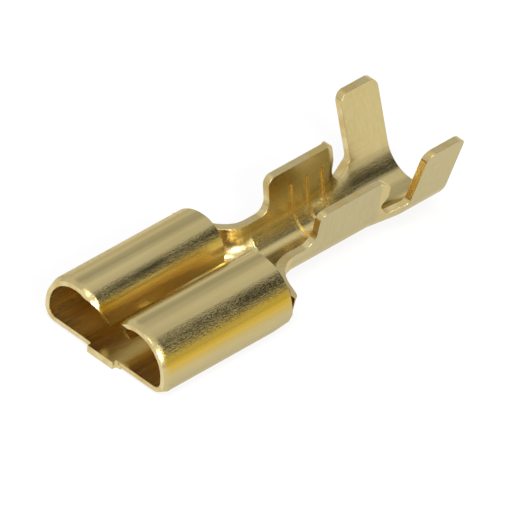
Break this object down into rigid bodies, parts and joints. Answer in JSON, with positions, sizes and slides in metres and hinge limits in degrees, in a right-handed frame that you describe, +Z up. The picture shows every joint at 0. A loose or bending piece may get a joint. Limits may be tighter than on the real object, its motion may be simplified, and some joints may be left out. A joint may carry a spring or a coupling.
{
  "type": "female spade terminal",
  "caption": "Open-barrel female spade receptacle folded from one brass sheet, with rolled sides, conductor and insulation crimp wings.",
  "frame": {"origin": "middle of the floor's underside, in line with the front edge of the rolled receptacle", "axes": "+X from the mating mouth to the wire end, +Y across to the left, +Z up, from the floor to the open side of the barrels"},
  "size_m": [0.0185, 0.0076, 0.0045],
  "materials": {
    "brass_sheet": "bright rolled, drawn lengthwise"
  },
  "bodies": {
    "root": {"spade_terminal": "brass_sheet"}
  },
  "joints": []
}
